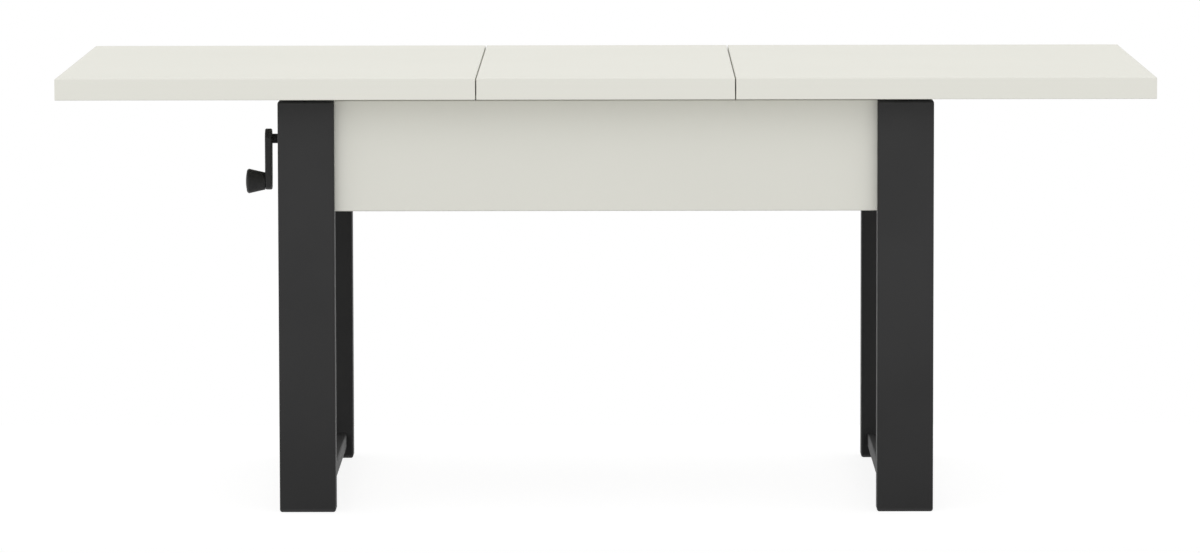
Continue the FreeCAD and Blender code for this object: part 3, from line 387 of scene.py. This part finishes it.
# One lead screw's mesh as it is drawn, round an upright axis
class ScrewMesh:
    def __init__(self, middle, hand):
        self.mesh = bmesh.new()
        self.middle = middle
        self.hand = hand

    # A ring of points; one with a climb is a full turn of a helix
    def ring(self, height, radius, climb=0.0):
        points = []
        for side in range(SCREW_SIDES):
            share = side / SCREW_SIDES
            angle = self.hand * 2 * math.pi * share
            across = Vector((math.cos(angle), math.sin(angle), 0.0)) * radius
            place = Vector((self.middle.x, self.middle.y, height + climb * share)) + across
            points.append(self.mesh.verts.new(place))
        return points

    # Faces between two rings, without the last side where they are turns of a helix
    def skin(self, lower, upper, closed):
        for side in range(SCREW_SIDES if closed else SCREW_SIDES - 1):
            after = (side + 1) % SCREW_SIDES
            self.mesh.faces.new((lower[side], lower[after], upper[after], upper[side]))

    # A plain length through rings of given heights and radii
    def turned(self, steps):
        rings = [self.ring(height, radius) for height, radius in steps]
        for lower, upper in zip(rings, rings[1:]):
            self.skin(lower, upper, closed=True)
        return rings

    # The thread between two plain rings, with the flat ends that cutting leaves
    def thread(self, foot, head, root, start, turns):
        rows = []
        for turn in range(turns):
            for share, depth in THREAD_PROFILE:
                height = start + SCREW_LEAD * (turn + share)
                rows.append(self.ring(height, root + depth * THREAD_DEPTH, SCREW_LEAD))
        rows.append(self.ring(start + SCREW_LEAD * turns, root, SCREW_LEAD))
        for lower, upper in zip([foot] + rows, rows + [head]):
            self.skin(lower, upper, closed=False)
        turn = len(THREAD_PROFILE)
        for row in range(len(rows) - 1 - turn):
            above = rows[row + turn][0], rows[row + turn + 1][0]
            self.mesh.faces.new((rows[row][-1], above[0], above[1], rows[row + 1][-1]))
        first = [row[0] for row in rows[:turn + 1]]
        last = [row[-1] for row in rows[-1 - turn:]]
        self.mesh.faces.new([foot[-1], foot[0], *first[:2], *first[-2:], rows[0][-1]])
        self.mesh.faces.new([head[-1], head[0], rows[-1][0], *last[:2], *last[-2:]])
        self.mesh.faces.new(first[1:-1])
        self.mesh.faces.new(last[1:-1])

    def finished(self, name):
        bmesh.ops.recalc_face_normals(self.mesh, faces=self.mesh.faces)
        mesh = bpy.data.meshes.new(name)
        self.mesh.to_mesh(mesh)
        self.mesh.free()
        mesh.shade_smooth()
        mesh.set_sharp_from_angle(angle=SHARP_EDGE)
        return mesh


# A lead screw with its thread cut, in place of the plain rod
def threaded_screw(corner, hand, material):
    node = f"lead_screw_{corner}"
    low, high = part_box(node)
    middle = (low + high) / 2
    root = (high.x - low.x) / 2 - THREAD_DEPTH
    points = [vertex.co for vertex in frame["nodes"][node].data.vertices]
    thick = [point.z for point in points if (point - middle).to_2d().length > root]
    foot, head = min(thick), max(thick)
    turns = int((head - foot) / SCREW_LEAD) - THREAD_RUN_OUT
    start = (foot + head - SCREW_LEAD * (turns + 1)) / 2
    tip = JOURNAL_RADIUS - JOURNAL_BEVEL
    screw = ScrewMesh(middle, hand)
    below = screw.turned(
        [(low.z, tip), (low.z + JOURNAL_BEVEL, JOURNAL_RADIUS), (foot, JOURNAL_RADIUS), (foot, root)]
    )
    above = screw.turned(
        [(head, root), (head, JOURNAL_RADIUS), (high.z - JOURNAL_BEVEL, JOURNAL_RADIUS), (high.z, tip)]
    )
    screw.thread(below[-1], above[0], root, start, turns)
    screw.mesh.faces.new(below[0])
    screw.mesh.faces.new(above[-1])
    piece = bpy.data.objects.new(f"threaded_screw_{corner}", screw.finished(f"threaded_screw_{corner}"))
    piece.data.materials.append(material)
    bpy.context.scene.collection.objects.link(piece)
    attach(piece, f"screw_{corner}")
    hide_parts(node)


# The front and rear screws turn opposite ways, so their threads are of opposite hands
def cut_threads():
    grain = even(THREAD_GRAIN)
    material = lined_metal("rolled_thread_steel", STEEL, grain, roughness=0.32, relief=TURNED_RELIEF)
    for end, hand in (("front", RIGHT_HAND), ("rear", LEFT_HAND)):
        for side in ("left", "right"):
            threaded_screw(f"{end}_{side}", hand, material)


# One where a ray is seen directly, mirrored or through glass, and nought elsewhere
def seen_ray(nodes):
    path = nodes.add("ShaderNodeLightPath").outputs
    mirrored = nodes.math("MAXIMUM", path["Is Glossy Ray"], path["Is Transmission Ray"])
    return nodes.math("MAXIMUM", path["Is Camera Ray"], mirrored)


# White to the eye, a plain ambient level to everything it lights
def studio_world():
    world = bpy.data.worlds.new("studio_world")
    bpy.context.scene.world = world
    world.use_nodes = True
    nodes = Nodes(world.node_tree)
    background = world.node_tree.nodes["Background"]
    background.inputs["Color"].default_value = tint(WHITE)
    strength = nodes.between(seen_ray(nodes), low=AMBIENT, span=WHOLE_SPAN)
    nodes.link(strength, background.inputs["Strength"])


# Glows to white where it is seen and keeps the shadow; from below it isn't there
def floor_material():
    material = bpy.data.materials.new("studio_floor")
    material.use_nodes = True
    nodes = Nodes(material.node_tree)
    material.node_tree.nodes.remove(material.node_tree.nodes["Principled BSDF"])
    matt = nodes.add("ShaderNodeBsdfDiffuse")
    matt.inputs["Color"].default_value = tint(FLOOR_COLOUR)
    glow = nodes.add("ShaderNodeEmission")
    nodes.link(nodes.math("MULTIPLY", seen_ray(nodes), FLOOR_GLOW), glow.inputs["Strength"])
    both = nodes.add("ShaderNodeAddShader")
    nodes.link(matt.outputs[0], both.inputs[0])
    nodes.link(glow.outputs[0], both.inputs[1])
    one_sided = nodes.add("ShaderNodeMixShader")
    nodes.link(nodes.add("ShaderNodeNewGeometry").outputs["Backfacing"], one_sided.inputs[0])
    nodes.link(both.outputs[0], one_sided.inputs[1])
    nodes.link(nodes.add("ShaderNodeBsdfTransparent").outputs[0], one_sided.inputs[2])
    nodes.link(one_sided.outputs[0], material.node_tree.nodes["Material Output"].inputs["Surface"])
    return material


def studio_floor():
    mesh = bpy.data.meshes.new("studio_floor")
    half_x, half_y = FLOOR_HALF
    corners = [(x * half_x, y * half_y, 0.0) for x, y in ((-1, -1), (1, -1), (1, 1), (-1, 1))]
    mesh.from_pydata(corners, [], [(0, 1, 2, 3)])
    mesh.materials.append(floor_material())
    floor = bpy.data.objects.new("studio_floor", mesh)
    bpy.context.scene.collection.objects.link(floor)


# A soft box that looks at a point
def soft_box(name, place, aim, width, height):
    lamp = bpy.data.lights.new(name, "AREA")
    lamp.shape = "RECTANGLE"
    lamp.size = width
    lamp.size_y = height
    lamp.energy = LAMP_POWER
    box = bpy.data.objects.new(name, lamp)
    bpy.context.scene.collection.objects.link(box)
    box.location = place
    box.rotation_euler = (Vector(aim) - Vector(place)).to_track_quat("-Z", "Y").to_euler()
    box.visible_camera = False


def studio_lights():
    soft_box("front_box", place=(-0.6, -2.6, 2.3), aim=(0.0, -0.3, 0.35), width=2.6, height=1.6)
    soft_box("top_box", place=(0.3, 0.2, 3.2), aim=(0.0, 0.0, 0.55), width=3.0, height=2.4)


def photo_camera():
    data = bpy.data.cameras.new("photo_camera")
    data.sensor_width = SENSOR_WIDTH
    data.lens = CAMERA_LENS
    data.clip_end = CLIP_END
    camera = bpy.data.objects.new("photo_camera", data)
    bpy.context.scene.collection.objects.link(camera)
    level = math.cos(CAMERA_PITCH)
    ahead = Vector((-math.sin(CAMERA_YAW) * level, math.cos(CAMERA_YAW) * level, -math.sin(CAMERA_PITCH)))
    across = Vector((math.cos(CAMERA_YAW), math.sin(CAMERA_YAW), 0.0))
    above = across.cross(ahead)
    right = across * math.cos(CAMERA_ROLL) + above * math.sin(CAMERA_ROLL)
    up = above * math.cos(CAMERA_ROLL) - across * math.sin(CAMERA_ROLL)
    turn = Matrix((right, up, -ahead)).transposed()
    camera.matrix_world = Matrix.Translation(CAMERA_PLACE) @ turn.to_4x4()
    bpy.context.scene.camera = camera


paint_all()
cut_threads()
studio_world()
studio_floor()
studio_lights()
photo_camera()
bpy.context.scene.view_settings.view_transform = "Standard"
